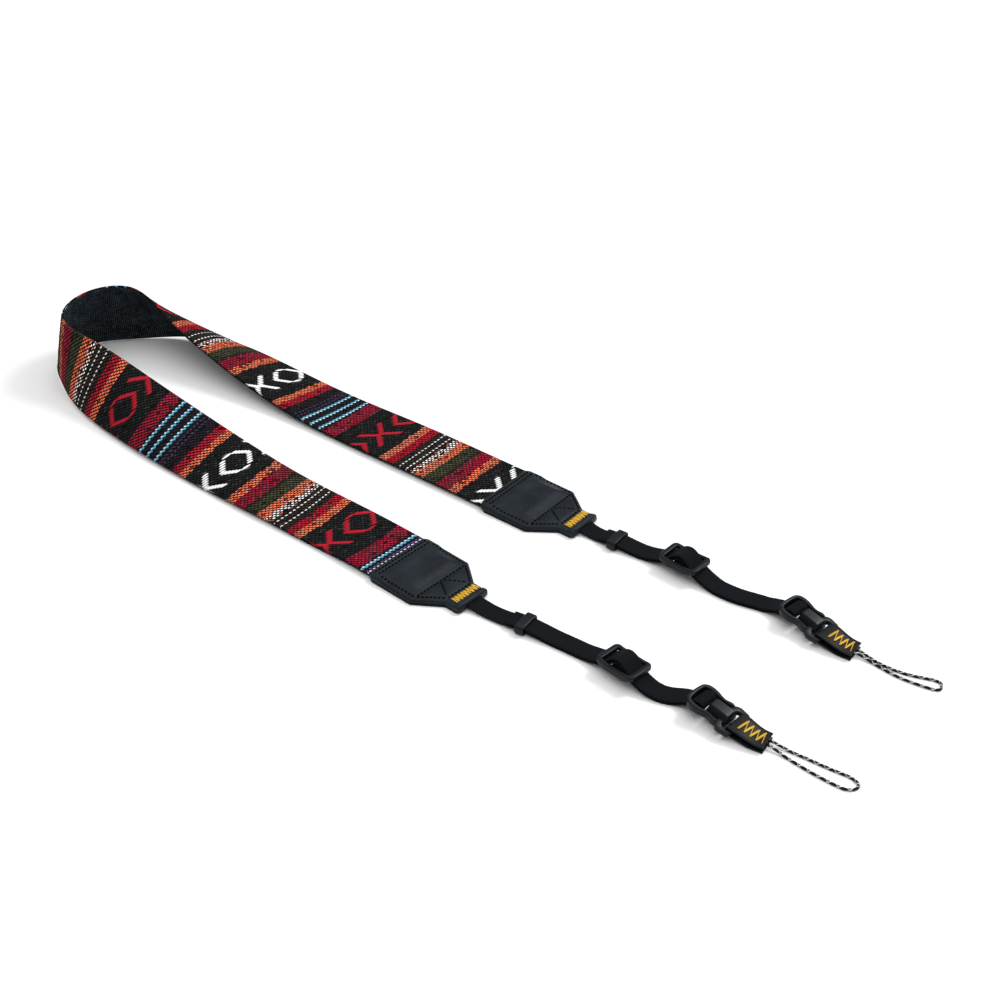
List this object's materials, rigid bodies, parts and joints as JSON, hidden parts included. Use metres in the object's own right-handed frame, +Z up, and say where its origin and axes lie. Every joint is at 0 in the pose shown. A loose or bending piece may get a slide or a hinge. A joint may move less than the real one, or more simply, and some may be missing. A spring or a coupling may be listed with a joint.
{
  "type": "camera neck strap",
  "caption": "Neck strap lying in a U: striped woven band with plain backing, leather caps, adjustable webbing, side-release buckles and thin cord loops.",
  "frame": {"origin": "bottom centre of the strap as it lies, without its two cord loops, on the surface", "axes": "+Z up, +X along the two arms from the loop towards the cord loops, +Y towards the rear arm"},
  "size_m": [0.5474, 0.1238, 0.0403],
  "materials": {
    "woven_face": "matte striped weave",
    "black_webbing_backing": "matte ribbed webbing",
    "charcoal_leather": "satin, fine grain",
    "charcoal_leather_under": "satin",
    "black_webbing": "matte ribbed webbing",
    "black_plastic": "moulded, slight sheen",
    "dark_grey_plastic": "moulded, slight sheen",
    "black_tab_leather": "satin",
    "flecked_cord": "woven cord"
  },
  "bodies": {
    "root": {"tapestry_band": "woven_face", "backing_webbing": "black_webbing_backing", "leather_cap_front": "charcoal_leather", "cap_underside_front": "charcoal_leather_under", "adjuster_webbing_front": "black_webbing", "keeper_front": "black_plastic", "slider_front": "black_plastic", "buckle_clip_front": "black_plastic", "buckle_housing_front": "dark_grey_plastic", "end_tab_front": "black_tab_leather", "cord_loop_front": "flecked_cord", "leather_cap_rear": "charcoal_leather", "cap_underside_rear": "charcoal_leather_under", "adjuster_webbing_rear": "black_webbing", "keeper_rear": "black_plastic", "slider_rear": "black_plastic", "buckle_clip_rear": "black_plastic", "buckle_housing_rear": "dark_grey_plastic", "end_tab_rear": "black_tab_leather", "cord_loop_rear": "flecked_cord"}
  },
  "joints": []
}
